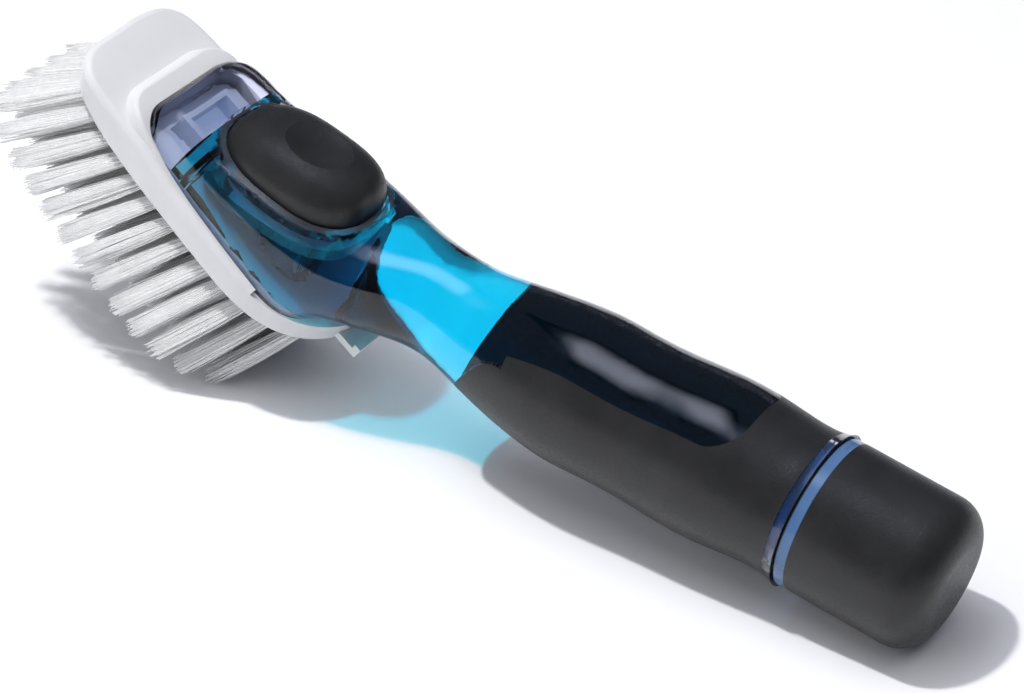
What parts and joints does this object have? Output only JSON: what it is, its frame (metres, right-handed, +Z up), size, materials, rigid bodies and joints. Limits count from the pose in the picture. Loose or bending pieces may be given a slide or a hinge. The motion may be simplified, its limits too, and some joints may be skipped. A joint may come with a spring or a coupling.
{
  "type": "dish wand",
  "caption": "Soap-dispensing dish wand: clear soap-filled handle with soft grip and screw cap, thumb pump on the head, replaceable bristle brush head.",
  "frame": {"origin": "ground point under the middle of the wand as it lies on its bristle tips and its cap", "axes": "+X along the wand towards the tail cap, +Y to the wand's left seen from the tail, +Z up"},
  "size_m": [0.2862, 0.062, 0.0851],
  "materials": {
    "clear_plastic": "clear gloss",
    "black_soft_grip": "fine matte grain",
    "white_plastic": "satin",
    "dark_plastic": "matte",
    "white_nylon": "slightly translucent satin",
    "spring_steel": "bright wire",
    "silicone": "translucent soft",
    "seal_rubber": "smooth"
  },
  "bodies": {
    "wand": {"reservoir_shell": "clear_plastic", "base_plate": "clear_plastic", "pump_housing": "clear_plastic", "grip_sleeve": "black_soft_grip", "inlet_valve": "silicone", "outlet_valve": "silicone", "valve_retainer": "white_plastic", "return_spring": "spring_steel"},
    "button": {"thumb_button": "black_soft_grip", "button_core": "dark_plastic", "plunger": "white_plastic", "piston_seal": "seal_rubber"},
    "brush_head": {"brush_head_frame": "white_plastic", "bristle_tufts": "white_nylon", "tuft_anchors": "spring_steel"},
    "tab": {"release_tab": "white_plastic"},
    "seal_ring": {"cap_seal": "seal_rubber"},
    "cap": {"cap_core": "clear_plastic", "cap_cover": "black_soft_grip"}
  },
  "joints": [
    {"name": "button_press", "type": "slide", "parent": "wand", "child": "button", "axis": [-0.2931, 0, -0.9561], "range_m": [0, 0.0035], "stiffness_N_per_m": 400, "springref_m": -0.002, "deforming": ["return_spring"]},
    {"name": "head_release", "type": "slide", "parent": "wand", "child": "brush_head", "axis": [-0.5813, 0, -0.8137], "range_m": [0, 0.014]},
    {"name": "tab_flex", "type": "hinge", "parent": "brush_head", "child": "tab", "pos_m": [-0.03854, 0, 0.02377], "axis": [0, 1, 0], "range_deg": [0, 8], "stiffness_Nm_per_rad": 0.05},
    {"name": "cap_advance", "type": "slide", "parent": "wand", "child": "seal_ring", "axis": [0.9889, 0, -0.1486], "range_m": [0, 0.006]},
    {"name": "cap_turn", "type": "hinge", "parent": "seal_ring", "child": "cap", "pos_m": [0.10314, 0, 0.02438], "axis": [0.9889, 0, -0.1486], "range_deg": [0, 720]}
  ],
  "couplings": [
    {"joint": "cap_turn", "follows": "cap_advance", "rad_per_m": 2094.4}
  ]
}
